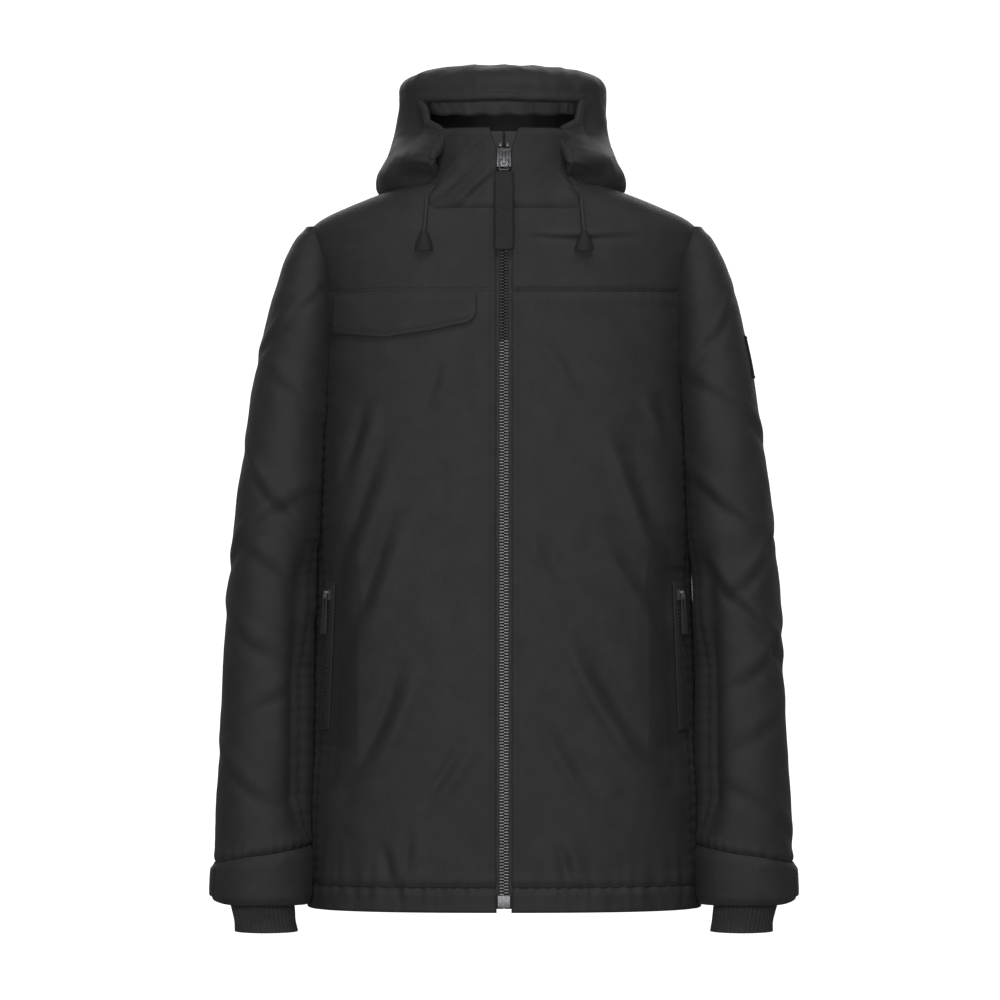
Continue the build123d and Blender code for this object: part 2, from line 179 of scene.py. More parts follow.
# ---- mesh making --------------------------------------------------------------
def unit(v):
    return v / np.maximum(np.linalg.norm(v, axis=-1), 1e-12)[..., None]


def linked(name, data):
    """A new object with this data, in the scene."""
    thing = bpy.data.objects.new(name, data)
    bpy.context.scene.collection.objects.link(thing)
    return thing


def new_mesh(name, points, faces, smooth=True):
    mesh = bpy.data.meshes.new(name)
    mesh.from_pydata([tuple(p) for p in points], [], faces)
    mesh.polygons.foreach_set("use_smooth", [smooth] * len(mesh.polygons))
    mesh.update()
    return linked(name, mesh)


def around(turns):
    return np.linspace(-np.pi, np.pi, turns, endpoint=False)[None, :]


def grid_faces(rows, columns, wrap=False, flip=False):
    faces = []
    last = columns if wrap else columns - 1
    for r in range(rows - 1):
        for c in range(last):
            d = (c + 1) % columns
            quad = (r * columns + c, r * columns + d, (r + 1) * columns + d, (r + 1) * columns + c)
            faces.append(quad[::-1] if flip else quad)
    return faces


def grid_mesh(name, grid, wrap=False, flip=False):
    return new_mesh(name, grid.reshape(-1, 3), grid_faces(*grid.shape[:2], wrap=wrap, flip=flip))


def normals_of(grid, wrap=False):
    """Unit normals of a (rows, columns, 3) grid, from its central differences."""
    if wrap:
        across = np.roll(grid, -1, 1) - np.roll(grid, 1, 1)
    else:
        across = np.gradient(grid, axis=1)
    along = np.gradient(grid, axis=0)
    return unit(np.cross(across, along))


def edge_distance(grid):
    """How far each grid point lies from the nearest of the four edges, and along which."""
    step = np.linalg.norm(np.diff(grid, axis=1), axis=-1)
    run = np.concatenate([np.zeros((grid.shape[0], 1)), np.cumsum(step, 1)], 1)
    rise = np.linalg.norm(np.diff(grid, axis=0), axis=-1)
    climb = np.concatenate([np.zeros((1, grid.shape[1])), np.cumsum(rise, 0)], 0)
    return run, run[:, -1:] - run, climb, climb[-1:] - climb


def solid_sheet(name, grid, normal, thick):
    """A closed sheet: the grid on the outside, its copy on the inside, and thinned borders."""
    rows, columns = grid.shape[:2]
    left, right, low, high = edge_distance(grid)
    near = np.minimum(np.minimum(left, right), np.minimum(low, high))
    pinch = 0.42 * thick * bell(near, 0.7 * thick)
    top = grid - normal * pinch[..., None]
    bottom = grid - normal * (thick - pinch)[..., None]
    points = np.concatenate([top.reshape(-1, 3), bottom.reshape(-1, 3)], 0)
    total = rows * columns
    faces = grid_faces(rows, columns)
    faces += [tuple(i + total for i in f[::-1]) for f in grid_faces(rows, columns)]
    ring = list(range(columns)) + [r * columns + columns - 1 for r in range(1, rows)]
    ring += [(rows - 1) * columns + c for c in range(columns - 2, -1, -1)]
    ring += [r * columns for r in range(rows - 2, 0, -1)]
    for k, a in enumerate(ring):
        b = ring[(k + 1) % len(ring)]
        faces.append((b, a, a + total, b + total))
    return new_mesh(name, points, faces)


def finish_piece(thing, material, body, nodes=()):
    thing.data.materials.append(material)
    if nodes:
        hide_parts(*nodes)
    if body:
        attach(thing, body)
    return thing


def tuck(grid, normals, depth=0.0042, steps=3):
    """Adds rolled borders to a grid, so that a panel's edge turns in instead of ending."""
    def roll(line, inward, inner, order):
        out = unit(line - inner)
        turns = [math.pi / 2 * k / steps for k in order]
        return [line + out * (math.sin(a) * 0.3 * depth) - inward * ((1 - math.cos(a)) * depth)
                for a in turns]

    for axis in (1, 0):
        grid, normals = np.moveaxis(grid, axis, 0), np.moveaxis(normals, axis, 0)
        first = roll(grid[0], normals[0], grid[1], range(steps, 0, -1))
        last = roll(grid[-1], normals[-1], grid[-2], range(1, steps + 1))
        grid = np.concatenate([first, grid, last])
        normals = np.concatenate([normals[:1].repeat(steps, 0), normals, normals[-1:].repeat(steps, 0)])
        grid, normals = np.moveaxis(grid, 0, axis), np.moveaxis(normals, 0, axis)
    return grid


def seam_shape(distance, along, phase, deep=0.0020, pucker=0.0007):
    """The valley beside a seam, with small uneven puckers across it."""
    valley = -deep * bell(distance, 0.0035) + 0.0006 * bell(distance - 0.008, 0.005)
    wave = np.sin(2 * np.pi * along / 0.0125 + 2.2 * np.sin(along / 0.021 + phase) + phase)
    return valley + pucker * wave * bell(distance, 0.011)


# ---- materials ------------------------------------------------------------------
def add(tree, kind, **values):
    node = tree.nodes.new(kind)
    for key, value in values.items():
        if key in node.inputs:
            node.inputs[key].default_value = value
        else:
            setattr(node, key, value)
    return node


def join(tree, source, output, target, socket):
    tree.links.new(source.outputs[output], target.inputs[socket])


def mottled(tree, shader, dark, light, scale):
    """Colour that drifts softly between two close tones."""
    place = add(tree, "ShaderNodeTexCoord")
    cloud = add(tree, "ShaderNodeTexNoise", Scale=scale, Detail=6.0, Roughness=0.6)
    tones = add(tree, "ShaderNodeValToRGB")
    for element, position, tone in zip(tones.color_ramp.elements, (0.3, 0.72), (dark, light)):
        element.position = position
        element.color = (*tone, 1)
    join(tree, place, "Object", cloud, "Vector")
    join(tree, cloud, "Fac", tones, "Fac")
    join(tree, tones, "Color", shader, "Base Color")
    return place


def weave_height(tree, place, pitch, grain=900.0):
    """Two crossed sets of fine threads and an uneven grain."""
    tilt = add(tree, "ShaderNodeMapping")
    tilt.inputs["Rotation"].default_value = (0.0, math.radians(45), 0.0)
    join(tree, place, "Object", tilt, "Vector")
    mixed = add(tree, "ShaderNodeMath", operation="MAXIMUM")
    for socket, direction in enumerate("XZ"):
        threads = add(tree, "ShaderNodeTexWave", Scale=1 / pitch / 6.28, Distortion=0.6)
        threads.bands_direction = direction
        join(tree, tilt, "Vector", threads, "Vector")
        join(tree, threads, "Fac", mixed, socket)
    fine = add(tree, "ShaderNodeTexNoise", Scale=grain, Detail=3.0)
    join(tree, place, "Object", fine, "Vector")
    both = add(tree, "ShaderNodeMath", operation="ADD")
    join(tree, mixed, 0, both, 0)
    join(tree, fine, "Fac", both, 1)
    return both, 0


def grain_height(tree, place, scale):
    """A fine even grain."""
    grain = add(tree, "ShaderNodeTexNoise", Scale=scale)
    join(tree, place, "Object", grain, "Vector")
    return grain, "Fac"


def surface(name, dark, light, scale, roughness, weave=None, grain=None, strength=0.0, **sockets):
    """A material of two close tones, with a weave or a grain as bump."""
    m = bpy.data.materials.new(name)
    m.use_nodes = True
    tree = m.node_tree
    shader = next(n for n in tree.nodes if n.type == "BSDF_PRINCIPLED")
    place = mottled(tree, shader, dark, light, scale)
    shader.inputs["Roughness"].default_value = roughness
    for key, value in sockets.items():
        shader.inputs[key.replace("_", " ")].default_value = value
    if weave or grain:
        height, output = weave_height(tree, place, *weave) if weave else grain_height(tree, place, grain)
        bump = add(tree, "ShaderNodeBump", Strength=strength, Distance=0.0004 if weave else 0.0002)
        join(tree, height, output, bump, "Height")
        join(tree, bump, "Normal", shader, "Normal")
    return m


SHELL = surface("shell_cloth", (0.0165, 0.0165, 0.0168), (0.0225, 0.0225, 0.0228), 42.0, 0.66,
                weave=(0.0011,), strength=0.35, Sheen_Weight=0.02, Specular_IOR_Level=0.22)
LINING = surface("lining_cloth", (0.019, 0.019, 0.0195), (0.026, 0.026, 0.0265), 60.0, 0.55,
                 weave=(0.0008,), strength=0.2, Sheen_Weight=0.05)
KNIT = surface("knit_cloth", (0.017, 0.017, 0.0175), (0.025, 0.025, 0.0255), 120.0, 0.85,
               weave=(0.0018, 500.0), strength=0.6, Sheen_Weight=0.05)
CORD = surface("cord_cloth", (0.010, 0.010, 0.011), (0.022, 0.022, 0.023), 500.0, 0.7,
               weave=(0.0012,), strength=0.8)
TAPE = surface("tape_cloth", (0.011, 0.011, 0.012), (0.019, 0.019, 0.020), 300.0, 0.75,
               weave=(0.0009,), strength=0.6)
METAL = surface("dark_nickel", (0.055, 0.055, 0.058), (0.10, 0.10, 0.104), 700.0, 0.30,
                grain=1500.0, strength=0.12, Metallic=0.9)
PLASTIC = surface("moulded_plastic", (0.013, 0.013, 0.0134), (0.019, 0.019, 0.0195), 200.0, 0.6,
                  grain=1200.0, strength=0.25, Specular_IOR_Level=0.14)
PALE_METAL = surface("pale_nickel", (0.15, 0.15, 0.155), (0.24, 0.24, 0.246), 500.0, 0.3, Metallic=0.85)
# Darker metal for the top stretch of zip teeth: painted shade, not a different finish of the metal.
PAINTED_SHADE_METAL = surface("painted_shade_nickel", (0.020, 0.020, 0.021), (0.034, 0.034, 0.035), 700.0, 0.42,
                     Metallic=0.7)
THREAD = surface("sewing_thread", (0.013, 0.013, 0.014), (0.024, 0.024, 0.025), 900.0, 0.6,
                 weave=(0.0006,), strength=0.4)
MATERIALS = {"shell": SHELL, "lining": LINING, "knit": KNIT, "cord": CORD, "tape": TAPE, "teeth": METAL,
             "zip_metal": PALE_METAL, "tag": PLASTIC, "plastic": PLASTIC, "badge": PLASTIC,
             "hook_patch": TAPE}


def dress_cad_nodes():
    """Every CAD node that stays gets the material of its slot."""
    slots = {entry["node"]: entry["material_slot"] for entry in frame["record"]["subparts"]}
    for name, thing in frame["nodes"].items():
        if not thing.material_slots:
            thing.data.materials.append(MATERIALS[slots[name]])
        for slot in thing.material_slots:
            slot.material = MATERIALS[slots[name]]


# ---- body ------------------------------------------------------------------------
FLAT = 2.5      # 2 is an ellipse; more is flatter in front


def oval(angle, power=FLAT):
    """The across and forward parts of a flattened oval, each from -1 to 1."""
    s, c = np.sin(angle), np.cos(angle)
    return np.sign(s) * np.abs(s) ** (2 / power), np.sign(c) * np.abs(c) ** (2 / power)


def oval_angle(ratio, power=FLAT):
    """The angle at which an oval is this share of its half width out."""
    ratio = np.clip(ratio, -0.9999, 0.9999)
    return np.arcsin(np.sign(ratio) * np.abs(ratio) ** (power / 2))


# Folds on the front: three points (x, z) in millimetres, width, height.
FRONT_FOLDS = [
    ([(-131, -221), (-142, -262), (-158, -309)], 9, 3.0),
    ([(-110, -245), (-142, -350), (-172, -417)], 11, 3.6),
    ([(-102, -330), (-126, -405), (-157, -480)], 11, 3.4),
    ([(-96, -478), (-113, -541), (-160, -628)], 12, 4.2),
    ([(-32, -560), (-54, -595), (-80, -634)], 8, 1.8), ([(108, -236), (134, -318), (167, -398)], 12, -4.0),
    ([(146, -215), (156, -240), (168, -272)], 9, -2.6), ([(95, -343), (134, -408), (173, -474)], 12, -3.4),
    ([(28, -350), (44, -385), (66, -424)], 9, -1.6), ([(68, -445), (106, -528), (173, -616)], 13, -5.0),
    ([(32, -515), (68, -586), (98, -622)], 10, -2.2), ([(57, -655), (66, -684), (74, -716)], 8, 2.0),
    ([(-120, -655), (-108, -690), (-104, -722)], 8, 1.8), ([(-90, -640), (-92, -680), (-100, -720)], 7, 1.4),
    ([(-12, -110), (-14, -150), (-9, -200)], 5, 1.2), ([(16, -54), (70, -59), (148, -54)], 4, 1.3),
    ([(30, -150), (60, -185), (84, -236)], 9, -1.6), ([(-60, -175), (-64, -205), (-80, -240)], 8, 1.4)]


def body_point(angle, z):
    """A point on the smooth body; angle 0 is the centre front and grows towards +X."""
    half, back = body_half(z), eased(z, BODY, 2, 0.012)
    front = front_y(z)
    middle, depth = (front + back) / 2, (back - front) / 2
    # Rounder at the sides where the hand pockets are, so that their zips lie on the cloth.
    pocket = ramp(-.345 - z, .05) * ramp(z + .620, .05)
    side = ramp(np.abs(np.sin(angle)) - 0.70, 0.16)
    across, forward = oval(angle, FLAT - 0.5 * pocket * side)
    return np.stack([half * across, middle - depth * forward, z + 0 * angle], -1)


def body_relief(p, angle):
    """How far the cloth stands off the smooth body."""
    x, z = p[..., 0], p[..., 2]
    front = np.clip(np.cos(angle) * 2.2, 0, 1)
    out = np.zeros(x.shape)
    for route, width, height in FRONT_FOLDS:
        out += 1.3 * front * height * MM * fold_field(x, z, route, width)
    low = ramp(-.16 - z, .25)
    loose = 0.30 + 0.70 * ramp(np.abs(x) - 0.03, 0.10)
    out += 0.0022 * loose * low * crumple(p, 0.14, (1.0, 1.0, 2.4), 3.3, 2)
    out += 0.0008 * (0.4 + 0.6 * low) * crumple(p, 0.055, (1.0, 1.0, 1.6), 9.1, 3)
    back = np.clip(-np.cos(angle) * 2.0, 0, 1)
    out += back * 0.0040 * low * crumple(p, 0.17, (1.2, 1.0, 2.6), 14.2, 2)
    seam = front * ramp(-.150 - z, .004) * ramp(z + .238, .006)
    out -= seam * 0.0013 * bell(x + .0355, .0017)
    hem = bell(z - HEM_STITCH, 0.030)
    out += hem * 0.0016 * noise(p * (95, 95, 12) + 4.0) * 1.6
    # The cloth lies flat beside the front zip and under the pocket zips, where the sliders run.
    beside = front * np.exp(-((np.abs(x) - 0.177) / 0.010) ** 4) * (z < -.390) * (z > -.570)
    free = ramp(np.abs(x) - 0.010, 0.020) * (1 - 0.85 * beside)
    return out * free - 0.0006 * (1 - free)


def side_seam_x(z):
    top, low = 0.180, 0.190
    return top + (low - top) * ramp(YOKE - z, YOKE - HEM_STITCH)


def seam_angle(z):
    """The angle of the side panel's front seam at height z."""
    return oval_angle(side_seam_x(z) / body_half(z))


def seam_angle_behind(z):
    return np.pi - seam_angle(z)


def zip_angle(z, half=0.0086):
    return oval_angle(half / body_half(z))


def neck_line(angle):
    """Height of the seam between yoke and collar: low in front, high behind."""
    turn = np.abs(half_turn(angle))
    t = ramp(turn - 0.33, 0.32)
    return -0.031 + 0.025 * t * t * (3 - 2 * t)


def panel_grid(low_angle, high_angle, z_low, z_high, step):
    """A grid on the body between two angle functions and two heights."""
    top = -0.012 if callable(z_high) else z_high
    rows = max(4, int(abs(top - z_low) / step) + 1)
    width = abs(high_angle(np.mean(z_low)) - low_angle(np.mean(z_low))) * 0.155
    columns = max(4, int(width / step) + 1)
    t = np.linspace(0, 1, rows)[:, None]
    u = np.linspace(0, 1, columns)[None, :]
    if callable(z_high):
        z_high = z_high(low_angle(YOKE) + (high_angle(YOKE) - low_angle(YOKE)) * u)
    z = z_low + (z_high - z_low) * t + 0 * u
    angle = low_angle(z) + (high_angle(z) - low_angle(z)) * u
    return angle, z


def body_panel(name, low_angle, high_angle, z_low, z_high, seams, node, step=0.0019):
    """A padded panel of the body, with a sewn seam along each border that seams names."""
    angle, z = panel_grid(low_angle, high_angle, z_low, z_high, step)
    base = body_point(angle, z)
    normal = normals_of(base)
    relief = body_relief(base, angle)
    left, right, low, high = edge_distance(base)
    x, z = base[..., 0], base[..., 2]
    for key, distance, run in (("l", left, z), ("r", right, z), ("b", low, x), ("t", high, x)):
        if key in seams:
            soft = 0.5 if key in "bt" and "hem" not in name else 1.0
            relief += seam_shape(distance, run, name_phase(name + key), 0.0020 * soft, 0.0007 * soft ** 2)
    grid = tuck(base + normal * relief[..., None], normal)
    return finish_piece(grid_mesh(name, grid), SHELL, ROOT, [node])


def name_phase(word):
    """A phase that differs from one name to the next, so that no two seams pucker alike."""
    return sum(ord(c) * (k + 1) for k, c in enumerate(word)) % 63 / 10.0


def make_body():
    for side, sign in SIDES:
        def border(edge):
            return lambda z: sign * edge(z)

        def span(near, far):
            """The two borders, the one with the smaller angle first."""
            return (border(near), border(far))[::int(sign)]
        right = sign < 0
        outer = "l" if right else "r"
        body_panel(f"front_panel_{side}_cloth", *span(zip_angle, seam_angle), HEM_STITCH, YOKE,
                   outer + ("b" if right else "bt"), f"front_panel_{side}")
        body_panel(f"side_panel_{side}_cloth", *span(seam_angle, seam_angle_behind), HEM_STITCH, -0.23, "lrb",
                   f"side_panel_{side}")
        body_panel(f"front_yoke_{side}_cloth", *span(zip_angle, lambda z: np.pi / 2 + 0 * z), YOKE, neck_line,
                   "" if right else "b", f"front_yoke_{side}")
        body_panel(f"hem_band_{side}", *span(zip_angle, lambda z: np.pi + 0 * z), HEM, HEM_STITCH,
                   "t", "hem_band")
    body_panel("back_panel_cloth", seam_angle_behind, lambda z: 2 * np.pi - seam_angle_behind(z), HEM_STITCH,
               YOKE, "lrbt", "back_panel", step=0.003)
    body_panel("back_yoke_cloth", lambda z: np.pi / 2 + 0 * z, lambda z: 1.5 * np.pi + 0 * z, YOKE, neck_line,
               "b", "back_yoke", step=0.003)


# ---- sleeves ---------------------------------------------------------------------
def sleeve_point(sign, angle, z):
    """angle 0 faces front and grows outwards, away from the body."""
    inner, outer = eased(z, SLEEVE, 1, 0.006), eased(z, SLEEVE, 2, 0.006)
    middle, depth = eased(z, SLEEVE, 3, 0.006), eased(z, SLEEVE, 4, 0.006)
    cx, rx = (inner + outer) / 2, (outer - inner) / 2
    across, forward = oval(angle, 2.4)
    return np.stack([sign * (cx + rx * across), middle - depth * forward, z + 0 * angle], -1)


# Folds on each sleeve: place up the sleeve, angle in degrees, slope, width, height. Lengths in millimetres.
SLEEVE_FOLDS = {
    "right": [(-140, 20, -0.9, 10, 2.5), (-215, -10, 0.8, 11, 3.0), (-315, 10, 1.1, 12, 4.2),
              (-352, 35, -0.9, 12, 4.0), (-400, -20, 0.9, 12, 3.6), (-455, 30, 0.7, 12, 3.0),
              (-520, 0, -0.7, 12, 2.6), (-600, 25, 0.8, 12, 2.6)],
    "left": [(-150, 10, 1.0, 10, 2.8), (-230, 25, -0.8, 11, 3.2), (-330, 0, -0.9, 12, 3.6),
             (-385, 30, 1.0, 12, 4.0), (-430, 10, -1.2, 13, 5.0), (-480, 30, 0.8, 12, 3.4),
             (-560, 0, 0.7, 12, 2.4), (-630, 30, -0.8, 12, 2.6)]}


def sleeve_relief(side, p, angle, z):
    """How far the cloth of a sleeve stands off its smooth tube."""
    out = 0.0018 * crumple(p, 0.10, (1.2, 1.2, 1.3), 21.0 + name_phase(side), 3)
    out += 0.0024 * crumple(p, 0.16, (1.0, 1.0, 1.7), 31.0 + name_phase(side), 2)
    for height, turn, slope, width, tall in SLEEVE_FOLDS[side]:
        swing = half_turn(angle - math.radians(turn))
        s = (z - height * MM - slope * 0.045 * np.sin(swing)) / (width * MM)
        ridge = np.exp(-(s - 0.7) ** 2 * 1.3) - 0.9 * np.exp(-(s + 0.7) ** 2 * 2.0)
        out += 0.62 * bell(swing, 1.25) * tall * MM * ridge
    # A hollow beside the hand pocket, deeper lower down, which leaves room for its pull.
    reach = ramp(-0.36 - z, 0.04) * ramp(z + 0.66, 0.04)
    lower = ramp(-0.44 - z, 0.05)
    hollow = reach * bell(angle + 0.80 + 0.12 * lower, 0.43)
    depth = 0.0100 + 0.0080 * lower
    return (out * (1 - 0.7 * hollow) - depth * hollow) * ramp(-0.050 - z, 0.06)


def cuff_seam_z(x):
    """The cuff band's upper seam rises towards the body."""
    return -0.677 + 0.21 * (0.248 - np.abs(x))


def make_sleeve(side, sign):
    top, turns = -0.0465, 150
    t = np.linspace(0, 1, 300)[:, None]
    angle = around(turns)
    low = cuff_seam_z(0.248 + 0.043 * np.sin(angle))
    z = low + (top - low) * t
    angle = angle + 0 * z
    base = sleeve_point(sign, angle, z)
    normal = normals_of(base, wrap=True) * sign
    relief = sleeve_relief(side, base, angle, z)
    relief += seam_shape(z - low, angle * 0.05, 1.0 + sign)
    for seam in (-1.25, np.pi - 0.5):
        gap = np.abs(half_turn(angle - seam)) * 0.05
        relief += seam_shape(gap, z, seam, deep=0.0014, pucker=0.0004)
    grid = base + normal * relief[..., None]
    foot = grid[:1] - normal[:1] * 0.004
    grid = np.concatenate([foot, grid], 0)
    crown = grid[-1].mean(0)
    points = np.concatenate([grid.reshape(-1, 3), crown[None]], 0)
    faces = grid_faces(*grid.shape[:2], wrap=True, flip=sign < 0)
    start, last = (grid.shape[0] - 1) * turns, len(points) - 1
    for c in range(turns):
        tri = (start + c, start + (c + 1) % turns, last)
        faces.append(tri[::-1] if sign < 0 else tri)
    thing = new_mesh(f"sleeve_{side}_cloth", points, faces)
    finish_piece(thing, SHELL, ROOT, [f"upper_sleeve_{side}", f"under_sleeve_{side}"])


def make_sleeve_badge():
    """A blank moulded patch with a raised border, on the outside of the left sleeve."""
    low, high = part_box("sleeve_badge")
    turn = np.linspace(0.2, 2.4, 200)
    forward = sleeve_point(1, turn, 0 * turn + (low.z + high.z) / 2)[:, 1]
    first, last = np.interp([low.y, high.y], forward, turn)
    z = np.linspace(low.z, high.z, 60)[:, None]
    angle = np.linspace(first, last, 60)[None, :] + 0 * z
    base = sleeve_point(1, angle, z + 0 * angle)
    normal = normals_of(base)
    near = np.min(np.broadcast_arrays(*edge_distance(base)), axis=0)
    height = 0.0017 - 0.0006 * ramp(near - 0.0024, 0.0008)
    grid = base + normal * (sleeve_relief("left", base, angle, z) + height)[..., None]
    thing = solid_sheet("sleeve_badge_patch", grid, normal, 0.0016)
    finish_piece(thing, PLASTIC, ROOT, ["sleeve_badge"])


def make_cuff(side, sign):
    """The cuff band: a doubled strip with rolled edges."""
    turns, rows = 130, 26
    angle = around(turns)
    high = cuff_seam_z(0.248 + 0.043 * np.sin(angle)) + 0.001
    t = np.linspace(0, 1, rows)[:, None]
    low = CUFF_LOW - 0.002 + 0.005 * np.clip(np.sin(angle), 0, 1) ** 4
    z = high + (low - high) * t
    angle = angle + 0 * z
    base = sleeve_point(sign, angle, z)
    normal = -normals_of(base, wrap=True) * sign
    edge = np.minimum(t, 1 - t) * 0.045
    swell = 0.0026 * (1 - bell(edge, 0.004)) + 0.0006 + 0.0012 * crumple(base, 0.05, seed=41.0)
    outer = base + normal * swell[..., None]
    inner = base[::-1] - normal[::-1] * 0.0045
    grid = np.concatenate([outer, inner], 0)
    thing = grid_mesh(f"cuff_{side}_cloth", grid, wrap=True, flip=sign > 0)
    finish_piece(thing, SHELL, ROOT, [f"cuff_{side}"])


def make_inner_cuff(side, sign):
    """A ribbed knit tube below the cuff band."""
    low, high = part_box(f"inner_cuff_{side}")
    turns, rows = 220, 34
    angle = around(turns)
    t = np.linspace(0, 1, rows)[:, None]
    z = low.z + (high.z - low.z) * t + 0 * angle
    cx = sign * (0.238 + 0.010 * t ** 1.3)
    rx, ry = 0.0300 + 0.003 * t, 0.0385 + 0.003 * t
    place = np.stack(np.broadcast_arrays(angle * 0.03, 0 * z, z), -1)
    rib = 0.0007 * np.sin(angle * 44) + 0.0012 * crumple(place, 0.03)

    def ring(r):
        return np.stack([cx + (rx + r) * np.sin(angle), -0.125 - (ry + r) * np.cos(angle), z], -1)
    grid = np.concatenate([ring(-0.002)[::-1], ring(rib + 0.0010 * bell(t, 0.10))], 0)
    thing = grid_mesh(f"inner_cuff_{side}_knit", grid, wrap=True)
    finish_piece(thing, KNIT, ROOT, [f"inner_cuff_{side}"])


# ---- collar ------------------------------------------------------------------------
def make_collar():
    """A padded stand-up collar, open in a V above the zip."""
    columns, rows = 300, 40
    creases = ((-.045, .005), (-.030, -.012), (-.038, .022))
    for name, inset, sign, nodes, cloth, slot in (
            ("collar_cloth", 0.0, 1, ["collar_right", "collar_left", "collar_back"], SHELL, "shell"),
            ("collar_lining_cloth", 0.0068, -1, ["collar_lining"], LINING, "lining")):
        t = np.linspace(0, 1, rows)[:, None]
        u = np.linspace(0, 1, columns)[None, :]
        low = neck_line(2 * np.pi * u)
        z = low + (COLLAR_TOP - low) * t
        spread = ramp(z - 0.022, 0.028) ** 1.2
        gap = oval_angle((0.0072 + 0.0085 * spread) / body_half(z))
        angle = gap + (2 * np.pi - 2 * gap) * u
        half = body_half(z) - inset
        back, front = eased(z, BODY, 2, 0.006) - inset, front_y(z) + inset
        across, forward = oval(angle)
        base = np.stack([half * across, (front + back) / 2 - (back - front) / 2 * forward, z], -1)
        normal = normals_of(base)
        relief = 0.0016 * crumple(base, 0.045, (1, 1, 1.2), 51.0, 3)
        for x0, z0 in creases:
            s = (base[..., 2] - z0 - 0.9 * (base[..., 0] - x0)) / 0.006
            near = bell(base[..., 0] - x0, 0.022) * (base[..., 1] < -0.06)
            relief += near * 0.0024 * (np.exp(-(s - .7) ** 2) - np.exp(-(s + .7) ** 2))
        relief -= 0.0030 * bell(COLLAR_TOP - z, 0.0028)
        relief += seam_shape(z - low, angle * 0.09, 2.0, 0.0016, 0.0005)
        grid = base + normal * relief[..., None] * (1 if sign > 0 else 0.6)
        grid = tuck(grid, normal * sign, depth=0.0036)
        thing = grid_mesh(name, grid, flip=sign < 0)
        finish_piece(thing, cloth, ROOT, nodes)


# ---- hood --------------------------------------------------------------------------
def hood_section(z):
    """Half width, front and back of the hood at height z, with a rounded crown."""
    shoulder, power = 0.090, 2.8
    t = ramp(z - shoulder, HOOD_TOP - shoulder)
    scale = (1 - t ** power) ** (1 / power)
    lower = np.minimum(z, shoulder)
    half, front, back = (eased(lower, HOOD, k, 0.005) for k in (1, 2, 3))
    middle = (front + back) / 2
    return half * scale, middle + (front - middle) * (0.12 + 0.88 * scale), middle + (back - middle) * scale


def opening_half(z):
    """Half the width of the face opening at height z."""
    return np.interp(z, [-.020, -.006, .030, .042, .050, .058, .080],
                     [.060, .055, .054, .057, .064, .079, .083])


RIM_Z = 0.0835
OPENING, CROWN_HALF = 0.083, 0.1055      # half widths of the face opening and of the hood, at the rim
HOOD_SHIFT = -0.0025      # the hood sits a little to the wearer's right


def hood_place(across, forward, z, inset):
    """Points on the hood, inset into it, from their across and forward parts."""
    half, front, back = hood_section(z)
    middle, depth = (front + back) / 2, (back - front) / 2
    return np.stack([HOOD_SHIFT + (half - inset) * across, middle - (depth - inset) * forward,
                     z + 0 * across], -1)


def hood_surface(z, u, inset):
    """u runs from one edge of the face opening round the back to the other."""
    half = np.maximum(hood_section(z)[0], 0.105)
    gap = np.arcsin(np.clip(opening_half(np.minimum(z, RIM_Z)) / half, 0, 0.95))
    angle = gap + (2 * np.pi - 2 * gap) * u
    across, forward = oval(angle, 2.0 + 0.9 * ramp(0.046 - z, 0.03))
    return hood_place(across, forward, z, inset)


def hood_relief(p):
    x, z = p[..., 0], p[..., 2]
    front = ramp(-0.040 - p[..., 1], 0.045)
    lower = ramp(0.045 - z, 0.04)
    out = 0.0026 * crumple(p, 0.075, (1.2, 1.2, 1.0), 61.0, 3)
    out += 0.0034 * lower * crumple(p, 0.055, (0.8, 0.8, 1.6), 71.0, 2)
    out += 0.0024 * ramp(z - 0.055, 0.02) * crumple(p, 0.05, (0.8, 1.2, 1.8), 81.0, 2)
    # A hollow down each side of the face, then a roll of cloth at the shoulder.
    side = front * bell(np.abs(x) - 0.093, 0.012)
    out -= side * 0.0120 * bell(z - 0.062, 0.024)
    roll = front * ramp(np.abs(x) - 0.056, 0.012) * ramp(0.112 - np.abs(x), 0.016)
    out += roll * 0.0060 * bell(z - 0.0225 - 0.05 * (np.abs(x) - 0.09), 0.0085)
    out -= roll * 0.0050 * bell(z - 0.002, 0.008)
    # Gathers beside the collar, where the cord draws the edge in.
    near = front * bell(np.abs(x) - 0.064, 0.020) * bell(z - 0.022, 0.016)
    out += near * 0.0011 * np.sin((z + 0.25 * (np.abs(x) - 0.055) * np.sign(x)) * 2 * np.pi / 0.0085)
    return out


